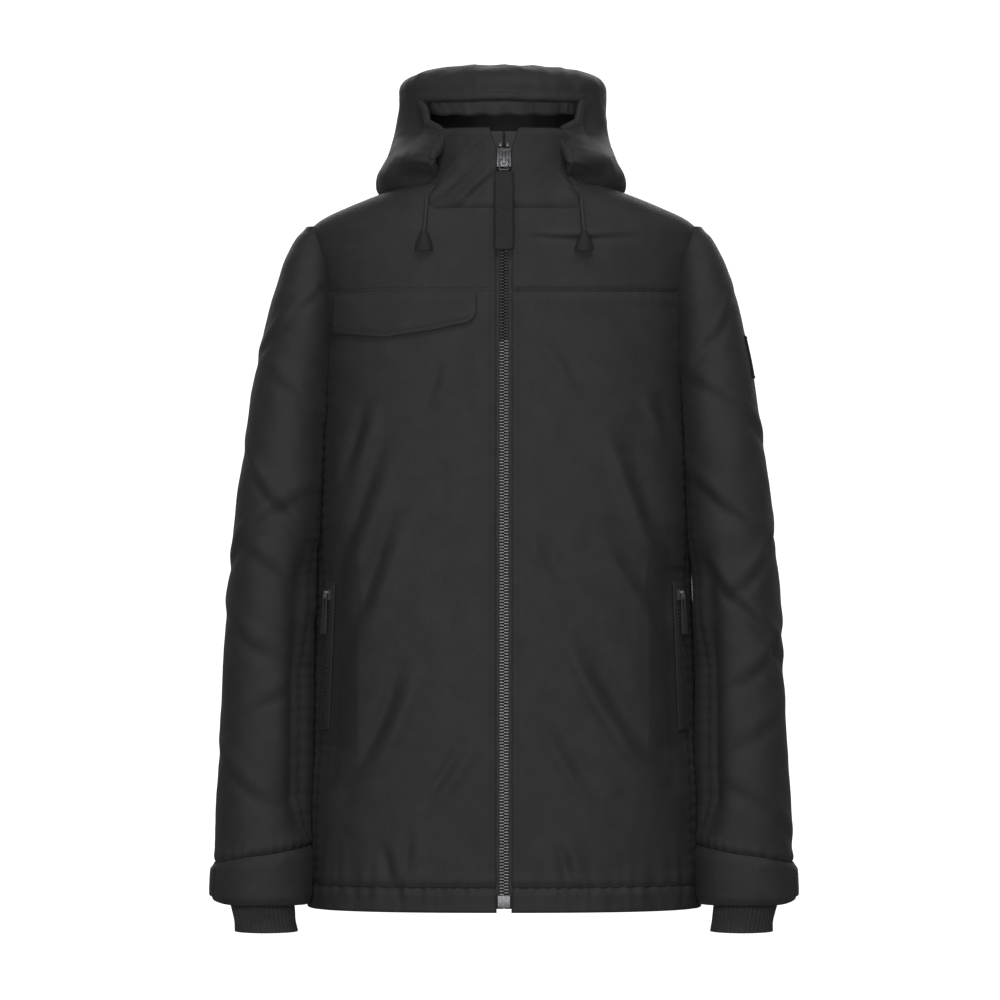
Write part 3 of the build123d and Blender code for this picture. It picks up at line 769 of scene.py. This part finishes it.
def make_hood():
    columns, brim_columns = 260, 110
    body_z = np.linspace(-0.020, RIM_Z, 62)
    crown_t = np.sin(np.linspace(0, math.pi / 2, 44)[1:])
    crown_z = RIM_Z + (HOOD_TOP - RIM_Z) * crown_t
    for name, inset, cloth, slot, nodes in (
            ("hood_cloth", 0.0, SHELL, "shell",
             ["hood_centre_panel", "hood_side_right", "hood_side_left", "hood_brim", "hood_base",
              "hood_fold"]),
            ("hood_lining_cloth", 0.0065, LINING, "lining", ["hood_lining"])):
        levels = np.concatenate([body_z, crown_z])
        z = levels[:, None] - inset * (levels[:, None] > RIM_Z)
        u = np.linspace(0, 1, columns)[None, :]
        main = hood_surface(z + 0 * u, u + 0 * z, inset)
        rows = len(levels)
        first = len(body_z) - 1
        v = np.linspace(-1, 1, brim_columns + 2)[None, 1:-1]
        brim_z = z[first:] + 0 * v
        gap = np.arcsin(np.clip(OPENING / np.maximum(hood_section(z[first:])[0], CROWN_HALF), 0, 0.95))
        brim = hood_place(np.sin(gap * v), np.cos(gap * v), brim_z, inset)
        for part in (main, brim):
            part += crumple_vector(part, inset)
        points = np.concatenate([main.reshape(-1, 3), brim.reshape(-1, 3)], 0)
        faces = grid_faces(rows, columns, flip=inset > 0)
        offset = rows * columns

        def column(r, c):
            """Vertex of the closed ring above the rim: the brim's columns, then the main ones."""
            c %= columns + brim_columns
            if c < columns:
                return r * columns + c
            return offset + (r - first) * brim_columns + (c - columns)
        for r in range(first, rows - 1):
            for c in range(columns - 1, columns + brim_columns):
                quad = (column(r, c), column(r, c + 1), column(r + 1, c + 1), column(r + 1, c))
                faces.append(quad[::-1] if inset else quad)
        thing = new_mesh(name, points, faces)
        finish_piece(thing, cloth, None, nodes)
        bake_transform(thing)
    make_hood_rim()


def crumple_vector(part, inset):
    """The hood's relief as a push away from the middle of its own height."""
    half, front, back = hood_section(part[..., 2])
    centre = np.stack([0 * half, (front + back) / 2, np.minimum(part[..., 2], 0.05)], -1)
    return unit(part - centre) * hood_relief(part)[..., None] * (0.8 if inset else 1)


def make_hood_rim():
    """The hemmed edge round the face opening, from one neck corner over the brim to the other."""
    low_z = np.linspace(-0.019, RIM_Z, 70)
    path = []
    for end in (0.0, 1.0):
        path.append(hood_surface(low_z, np.full(low_z.shape, end), 0.003))
    gap = math.asin(OPENING / CROWN_HALF)
    sweep = np.linspace(gap, -gap, 120)[1:-1]
    top = hood_place(np.sin(sweep), np.cos(sweep), np.full(sweep.shape, RIM_Z), 0.003)
    route = np.concatenate([path[0], top, path[1][::-1]], 0)
    route += crumple_vector(route, 0)
    thing = tube("hood_rim_cloth", route, 0.0048, SHELL, None, squash=0.75)
    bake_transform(thing)


def tube(name, route, radius, cloth, body, sides=12, squash=1.0):
    """A closed tube along a dense route."""
    route = np.asarray(route, float)
    along = unit(np.gradient(route, axis=0))
    side = unit(np.cross(along, (0, 0.3, 1.0)))
    up = np.cross(side, along)
    a = np.linspace(0, 2 * np.pi, sides, endpoint=False)[None, :, None]
    ring = route[:, None] + radius * (np.cos(a) * side[:, None] * squash + np.sin(a) * up[:, None])
    faces = grid_faces(len(route), sides, wrap=True)
    faces.append(tuple(range(sides))[::-1])
    last = (len(route) - 1) * sides
    faces.append(tuple(range(last, last + sides)))
    thing = new_mesh(name, ring.reshape(-1, 3), faces)
    return finish_piece(thing, cloth, body)


# ---- zips -----------------------------------------------------------------------
def rounded_box(size, bevel, segments=2):
    """Vertices and faces of a bevelled box about the origin."""
    bm = bmesh.new()
    bmesh.ops.create_cube(bm, size=1.0)
    bmesh.ops.scale(bm, vec=size, verts=bm.verts)
    bmesh.ops.bevel(bm, geom=bm.edges[:], offset=bevel, segments=segments, affect="EDGES", profile=0.6)
    bm.verts.index_update()
    points = np.array([v.co[:] for v in bm.verts])
    faces = [tuple(v.index for v in f.verts) for f in bm.faces]
    bm.free()
    return points, faces


TILT = math.atan2(FRONT_TOP - FRONT_HEM, COLLAR_TOP - HEM)
ZIP_FRONT = np.array([0.0, -1.0, 0.07])      # out of the zip, away from the body


def zip_place(points):
    """From the zip's own frame (across, into the cloth, up the zip) to the row frame."""
    x, y, z = np.moveaxis(np.asarray(points, float), -1, 0)
    c, s = math.cos(TILT), math.sin(TILT)
    return np.stack([x, front_y(0.0) + y * c + z * s, -y * s + z * c], -1)


def merge(parts):
    points, faces, start = [], [], 0
    for p, f in parts:
        points.append(p)
        faces += [tuple(i + start for i in face) for face in f]
        start += len(p)
    return np.concatenate(points), faces


# Height above which the zip's teeth get the darker metal of painted shade.
PAINTED_SHADE_TEETH_FROM = -0.163


def make_zip_teeth():
    pitch, tooth = 0.0030, rounded_box((0.0052, 0.0024, 0.0017), 0.00045, 1)
    low, high = -0.7145, 0.0295
    for k, (side, sign) in enumerate(SIDES):
        parts = []
        for n in range(int((high - low) / pitch)):
            z = low + (n + 0.5 * k) * pitch
            parts.append((tooth[0] + (sign * 0.00225, 0.0011, z), tooth[1]))
        points, faces = merge(parts)
        thing = new_mesh(f"zip_teeth_{side}_row", zip_place(points), faces, smooth=False)
        finish_piece(thing, METAL, ROOT, [f"zip_teeth_{side}"])
        # The top stretch of teeth gets darker metal than the rest: painted shade, standing in for the glints
        # those teeth do not catch.
        thing.data.materials.append(PAINTED_SHADE_METAL)
        for face in thing.data.polygons:
            face.material_index = int(face.center.z > PAINTED_SHADE_TEETH_FROM)


def make_stitches(name, route, body, length=0.0026, gap=0.0011):
    """A row of single thread stitches along a route of points."""
    route = np.asarray(route, float)
    run = np.concatenate([[0], np.cumsum(np.linalg.norm(np.diff(route, axis=0), axis=1))])
    parts = []
    shape = rounded_box((0.0007, 0.0007, length), 0.00025, 1)
    for s in np.arange(0, run[-1] - length, length + gap):
        a = np.array([np.interp(s, run, route[:, k]) for k in range(3)])
        b = np.array([np.interp(s + length, run, route[:, k]) for k in range(3)])
        d = unit(b - a)
        side = unit(np.cross(d, (0.1, 1, 0.2)))
        turn = np.stack([side, np.cross(side, d), d], 0)
        parts.append((shape[0] @ turn + (a + b) / 2, shape[1]))
    finish_piece(new_mesh(name, *merge(parts)), THREAD, body)


def front_place(x, z, lift=0.0):
    """Points on the cloth of the front, with their outward normals, lifted off it."""
    x, z = np.broadcast_arrays(np.asarray(x, float), np.asarray(z, float))
    angle = oval_angle(x / body_half(z))
    p = body_point(angle, z)
    near = body_point(angle + 0.001, z) - body_point(angle - 0.001, z)
    up = body_point(angle, z + 0.001) - body_point(angle, z - 0.001)
    normal = unit(np.cross(near, up))
    return p + normal * (body_relief(p, angle) + lift)[..., None], normal


# ---- chest flap --------------------------------------------------------------
FLAP_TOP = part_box("chest_flap")[1].z


def flap_bottom(x):
    """The flap's lower edge: a shallow double curve with a round corner by the zip."""
    edge = np.interp(x, [-.171, -.119, -.074, -.034, -.028], [-.1555, -.1600, -.1535, -.1450, -.1440])
    corner = ramp(x + .0385, .0110)
    return edge + 0.012 * (1 - np.sqrt(1 - corner ** 2 * 0.98))


def make_chest_flap():
    u = np.linspace(0, 1, 110)[None, :]
    v = np.linspace(0, 1, 44)[:, None]
    x = -.171 + .1435 * u + 0 * v
    z = flap_bottom(x) * (1 - v) + FLAP_TOP * v
    lift = 0.0003 + 0.0019 * np.minimum(1, (1 - v) * 6) + 0.0016 * (1 - v) ** 2
    lift = lift + 0.0005 * noise(np.stack([x * 40, z * 60, 0 * x], -1))
    grid, normal = front_place(x, z, lift)
    left, right, low, high = edge_distance(grid)
    edge = np.minimum(low, right)
    grid = grid - normal * (0.0005 * bell(edge - 0.0055, 0.0011))[..., None]
    thing = solid_sheet("chest_flap_cloth", grid, normal, 0.0016)
    finish_piece(thing, SHELL, None, ["chest_flap"])
    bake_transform(thing)


# ---- linings and pocket bags ----------------------------------------------------
def make_body_lining():
    u = np.linspace(0, 1, 220)[None, :]
    z = np.linspace(HEM + 0.030, -0.030, 150)[:, None] + 0 * u
    gap = zip_angle(z, 0.019)
    angle = gap + (2 * np.pi - 2 * gap) * u
    base = body_point(angle, z)
    normal = normals_of(base)
    relief = 0.0016 * crumple(base, 0.09, (1, 1, 2.0), 91.0, 2) - 0.0082
    grid = base + normal * relief[..., None]
    thing = grid_mesh("body_lining_cloth", grid, flip=True)
    finish_piece(thing, LINING, ROOT, ["body_lining"])


def make_sleeve_linings():
    parts = []
    angle = around(72)
    z = np.linspace(-0.715, -0.075, 120)[:, None] + 0 * angle
    for side, sign in SIDES:
        base = sleeve_point(sign, angle + 0 * z, z)
        normal = normals_of(base, wrap=True) * sign
        relief = sleeve_relief(side, base, angle + 0 * z, z) - 0.0075
        grid = base + normal * relief[..., None]
        parts.append((grid.reshape(-1, 3), grid_faces(*grid.shape[:2], wrap=True, flip=sign > 0)))
    points, faces = merge(parts)
    thing = new_mesh("sleeve_linings_cloth", points, faces)
    finish_piece(thing, LINING, ROOT, ["sleeve_linings"])


def make_bag(node, corner=0.25):
    """A flat cloth bag just inside the front, as wide and tall as its node."""
    low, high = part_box(node)
    u = np.linspace(-1, 1, 40)[None, :]
    v = np.linspace(-1, 1, 40)[:, None]
    round_off = 1 - corner * np.abs(v) ** 6
    x = (low.x + high.x) / 2 + (high.x - low.x) / 2 * u * round_off
    z = (low.z + high.z) / 2 + (high.z - low.z) / 2 * v * (1 - 0.5 * corner * np.abs(u) ** 6)
    grid, normal = front_place(x, z, -0.0105)
    thing = solid_sheet(f"{node}_cloth", grid, normal, 0.0018)
    finish_piece(thing, LINING, ROOT, [node])


def make_hanger_loop():
    """A small loop of cord inside the back of the neck."""
    t = np.linspace(-1, 1, 60)
    bend = 1.35
    height = (np.cos(t * bend) - math.cos(bend)) / (1 - math.cos(bend))
    route = np.stack([0.024 * np.sin(t * bend) / math.sin(bend), 0.008 * np.abs(t) ** 1.5,
                      -0.015 + 0.0166 * height], -1)
    thing = tube("hanger_loop_cord", route, 0.0016, CORD, ROOT)
    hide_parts("hanger_loop")


# ---- zip fittings --------------------------------------------------------------
def make_zip_tapes():
    for side, sign in SIDES:
        low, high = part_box(f"zip_tape_{side}")
        u = np.linspace(0.0006, 0.0163, 12)[None, :] * sign
        z = np.linspace(low.z, high.z - 0.001, 300)[:, None] / math.cos(TILT)
        x = u + 0 * z
        y = 0.0024 + 0.0003 * np.sin(z / 0.0021) * (np.abs(x) > 0.010)
        grid = zip_place(np.stack([x, y + 0 * x, z + 0 * x], -1))[:, ::int(sign)]
        thing = solid_sheet(f"zip_tape_{side}_cloth", grid, ZIP_FRONT + 0 * grid, 0.0009)
        finish_piece(thing, TAPE, ROOT, [f"zip_tape_{side}"])


def box_part(centre, size, bevel, segments=3):
    points, faces = rounded_box(size, bevel, segments)
    return points + np.array(centre), faces


def zip_part(name, parts, body, node):
    points, faces = merge(parts)
    finish_piece(new_mesh(name, zip_place(points), faces), METAL, body, [node])


def make_zip_slider():
    middle = 0.0195
    saddle = [box_part((0, -0.0012, middle), (0.0150, 0.0020, 0.0188), 0.0009),
              box_part((0, -0.0026, middle), (0.0100, 0.0012, 0.0150), 0.0005),
              box_part((0, -0.0063, middle), (0.0032, 0.0014, 0.0128), 0.0006)]
    for post in (-0.005, 0.005):
        saddle.append(box_part((0, -0.0042, middle + post), (0.0032, 0.0044, 0.0028), 0.0006))
    for sign in (-1, 1):
        saddle.append(box_part((sign * 0.0061, 0.0008, middle), (0.0013, 0.0024, 0.0186), 0.0004))
    zip_part("zip_slider_body", saddle, "zip_slider", "zip_slider")


def make_zip_wire():
    """The ring of wire that joins the tag to the slider."""
    corner, across, low, high = 0.0016, 0.0031, 0.0088, 0.0160
    ring = []
    for cx, cz, start in ((across, high, 0), (-across, high, 90), (-across, low, 180), (across, low, 270)):
        for turn in np.radians(np.linspace(start, start + 90, 7)):
            ring.append((cx + corner * math.cos(turn), -0.0042, cz + corner * math.sin(turn)))
    ring.append(ring[0])
    thing = tube("zip_pull_wire", zip_place(ring), 0.00085, METAL, "zip_pull")
    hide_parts("zip_pull")


def make_zip_tag():
    """A long blank tag with rounded ends and a raised border."""
    top, length = 0.0060, 0.0790
    v = np.linspace(0, 1, 90)[:, None]
    u = np.linspace(-1, 1, 30)[None, :]
    end = np.minimum(v, 1 - v) * length
    half = 0.0093 - 0.0035 * (1 - np.sqrt(np.clip(1 - (1 - ramp(end, 0.0035)) ** 2, 0, 1)))
    x, z = u * half, top - length * (1 - v) + 0 * u
    border = np.minimum(half * (1 - np.abs(u)), end)
    y = -0.0056 + 0.0005 * ramp(border - 0.0016, 0.0007)
    face = zip_place(np.stack([x, y, z], -1))
    thing = solid_sheet("zip_tag_blank", face, ZIP_FRONT + 0 * face, 0.0027)
    finish_piece(thing, PLASTIC, "zip_pull", ["zip_tag"])


def make_zip_ends():
    foot = [box_part((0, 0.0008, -0.7220), (0.0132, 0.0028, 0.0132), 0.0008)]
    zip_part("zip_box_foot", foot, ROOT, "zip_box")
    stops = [box_part((sign * 0.0037, 0.0013, 0.0330), (0.0034, 0.0018, 0.0038), 0.0006) for sign in (-1, 1)]
    zip_part("zip_top_stops_pair", stops, ROOT, "zip_top_stops")


# ---- hand pockets ---------------------------------------------------------------
def pocket_place(sign):
    """From the pocket zip's own frame (across, along, out of the cloth) to the row frame."""
    out = unit(np.array([sign * 0.789, -0.614, 0.0495]))
    across = unit(np.array([0.614, sign * 0.789, 0.0]))
    along = np.cross(out, across)
    origin = np.array([sign * 0.176, -0.1227, -0.478])
    if along[2] < 0:
        along, across = -along, -across

    def place(points):
        p = np.asarray(points, float)
        return origin + p[..., :1] * across + p[..., 1:2] * along + p[..., 2:] * out
    return place


def make_pocket_zips():
    for side, sign in SIDES:
        place = pocket_place(sign)
        parts = [box_part((0, 0, 0.0016), (0.0168, 0.149, 0.0012), 0.0005)]
        for n in range(70):
            place_of_tooth = (0.0010 * (-1) ** n, -0.0705 + n * 0.002, 0.0031)
            parts.append(box_part(place_of_tooth, (0.0024, 0.0014, 0.0016), 0.0004, 1))
        points, faces = merge(parts)
        thing = new_mesh(f"pocket_zip_{side}_parts", place(points), faces)
        finish_piece(thing, TAPE, ROOT, [f"pocket_zip_{side}"])


# ---- cuff tabs -------------------------------------------------------------------
def make_cuff_tab(side, sign):
    """A strap round the outside of the cuff, with a rounded free end."""
    low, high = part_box(f"cuff_tab_{side}")
    v = np.linspace(-1, 1, 18)[:, None]
    u = np.linspace(0, 1, 50)[None, :]
    start, end = 1.13, 2.58
    angle = start + (end - start) * u + 0 * v
    taper = 1 - 0.55 * ramp(u - 0.84, 0.16) ** 2.5
    z = (low.z + high.z) / 2 + (high.z - low.z) / 2 * v * taper
    base = sleeve_point(sign, angle, z)
    normal = normals_of(base) * sign
    lift = 0.0047 + 0.0012 * u ** 3
    grid = base + normal * (lift + 0 * v)[..., None]
    edge = (1 - np.abs(v)) * (high.z - low.z) / 2
    grid = grid - normal * (0.0004 * bell(edge - 0.004, 0.0009) + 0 * u)[..., None]
    if sign < 0:
        grid, normal = grid[:, ::-1], normal[:, ::-1]
    thing = solid_sheet(f"cuff_tab_{side}_cloth", grid, normal, 0.0021)
    finish_piece(thing, SHELL, f"cuff_tab_{side}", [f"cuff_tab_{side}"])


# ---- hood facing -----------------------------------------------------------------
def make_hood_facing():
    """The gathered band of lining that hangs just inside the brim."""
    u = np.linspace(-1, 1, 150)[None, :]
    v = np.linspace(0, 1, 26)[:, None]
    x = HOOD_SHIFT + 0.0800 * u + 0 * v
    z = 0.088 - (0.0235 - 0.004 * np.abs(u) ** 3) * v + 0.0007 * np.sin(u * 19) * v
    half, front, back = hood_section(np.full(u.shape, RIM_Z))
    bow = (front + back) / 2 - (back - front) / 2 * np.sqrt(1 - (x / 0.112) ** 2)
    y = bow + 0.009 + 0.007 * v
    grid = np.stack([x, y, z], -1)
    normal = normals_of(grid)
    normal *= -np.sign(normal[..., 1:2])
    ends = ramp(np.abs(u) - 0.55, 0.45)
    relief = 0.0016 * crumple(grid, 0.022, (0.7, 1, 1.4), 101.0, 3) * (0.4 + ends)
    grid = grid + normal * relief[..., None]
    thing = solid_sheet("hood_facing_cloth", grid[:, ::-1] if normal[0, 0, 1] > 0 else grid, normal, 0.0022)
    finish_piece(thing, LINING, "hood")


# ---- seams sewn with thread ----------------------------------------------------
def make_topstitching():
    heights = np.linspace(-0.700, -0.016, 260)
    for side, sign in SIDES:
        line, _ = front_place(sign * 0.0140 + 0 * heights, heights, 0.0003)
        make_stitches(f"fly_stitches_{side}", line, ROOT)
        across = np.linspace(0.0150, 0.172, 120) * sign
        line, _ = front_place(across, YOKE + 0.0045 + 0 * across, 0.0003)
        make_stitches(f"yoke_stitches_{side}", line, ROOT)
        line, _ = front_place(across, HEM_STITCH + 0.0042 + 0 * across, 0.0003)
        make_stitches(f"hem_stitches_{side}", line, ROOT)
    x = np.linspace(-.168, -.0335, 120)
    line, _ = front_place(x, flap_bottom(x) + 0.0055, 0.0040)
    make_stitches("flap_stitches", line, "chest_flap")


# ---- backdrop, lights and camera ---------------------------------------------------------
def make_stage():
    """A white dome round everything. It is seen, but it lights nothing."""
    points, faces = [], []
    rings, turns, radius = 24, 48, 16.0
    for r in range(rings + 1):
        tall = -math.pi / 2 + math.pi * r / rings
        for c in range(turns):
            a = 2 * math.pi * c / turns
            points.append((radius * math.cos(tall) * math.cos(a), radius * math.cos(tall) * math.sin(a),
                           radius * math.sin(tall)))
    dome = new_mesh("backdrop", points, grid_faces(rings + 1, turns, wrap=True, flip=True))
    dome.data.materials.append(surface("white_backdrop", (0.9, 0.9, 0.9), (0.909, 0.909, 0.909), 3.0, 0.9,
                                       Emission_Color=(1, 1, 1, 1), Emission_Strength=1.0))
    dome.visible_diffuse = False
    dome.visible_glossy = False
    dome.visible_shadow = False


def lamp(name, place, aim, size, power):
    data = bpy.data.lights.new(name, "AREA")
    data.shape = "RECTANGLE"
    data.size, data.size_y = size
    data.energy = power
    thing = linked(name, data)
    thing.location = place
    thing.rotation_euler = (Vector(aim) - Vector(place)).to_track_quat("-Z", "Y").to_euler()


def make_lights():
    middle = (0, -0.1, -0.32)
    lamp("key", (-0.35, -3.5, -0.10), middle, (3.0, 1.0), 63)
    lamp("top", (0.4, -1.9, 2.6), middle, (1.8, 1.4), 52)
    lamp("behind_left", (1.0, 3.5, 1.3), middle, (1.8, 1.8), 38)
    lamp("behind_right", (-1.0, 3.5, 1.3), middle, (1.8, 1.8), 32)
    world = bpy.data.worlds.new("studio")
    world.use_nodes = True
    world.node_tree.nodes["Background"].inputs[0].default_value = (1, 1, 1, 1)
    world.node_tree.nodes["Background"].inputs[1].default_value = 0.24
    bpy.context.scene.world = world
    bpy.context.scene.view_settings.view_transform = "Standard"


def make_camera():
    data = bpy.data.cameras.new("camera")
    distance, width = 7.0, 1.0
    data.sensor_width = 36.0
    data.lens = 36.0 * distance / width
    data.clip_end = 100
    cam = linked("camera", data)
    middle_y = -0.14
    cam.location = (-0.004, middle_y - distance, -0.322)
    cam.rotation_euler = (math.radians(90), 0, 0)
    bpy.context.scene.camera = cam


# ---- cords ---------------------------------------------------------------------------
def make_cords():
    """The drawcords hang from the hood's edge; the points are the CAD route's."""
    for side, sign in SIDES:
        route = [(0.0760, -0.1360, -0.0120), (0.0765, -0.1470, -0.0165), (0.0775, -0.1535, -0.0280),
                 (0.0785, -0.1565, -0.0410), (0.0800, -0.1575, -0.0540)]
        curve = bpy.data.curves.new(f"drawcord_{side}_cord", "CURVE")
        curve.dimensions = "3D"
        curve.bevel_depth = 0.0016
        curve.bevel_resolution = 4
        curve.resolution_u = 16
        curve.use_fill_caps = True
        line = curve.splines.new("NURBS")
        line.points.add(len(route) - 1)
        for point, (x, y, z) in zip(line.points, route):
            point.co = (sign * x, y, z, 1)
        line.order_u = 3
        line.use_endpoint_u = True
        thing = linked(f"drawcord_{side}_cord", curve)
        curve.materials.append(CORD)
        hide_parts(f"drawcord_{side}")
        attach(thing, ROOT)


make_camera()
make_cords()
dress_cad_nodes()
make_body()
make_body_lining()
make_sleeve_linings()
make_chest_flap()
for node in ("pocket_bag_right", "pocket_bag_left", "chest_pocket"):
    make_bag(node)
make_hanger_loop()
for side, sign in SIDES:
    make_sleeve(side, sign)
    make_cuff(side, sign)
    make_inner_cuff(side, sign)
    make_cuff_tab(side, sign)
make_sleeve_badge()
make_collar()
make_hood()
make_hood_facing()
make_zip_teeth()
make_zip_tapes()
make_zip_slider()
make_zip_wire()
make_zip_tag()
make_zip_ends()
make_pocket_zips()
make_topstitching()
make_stage()
make_lights()
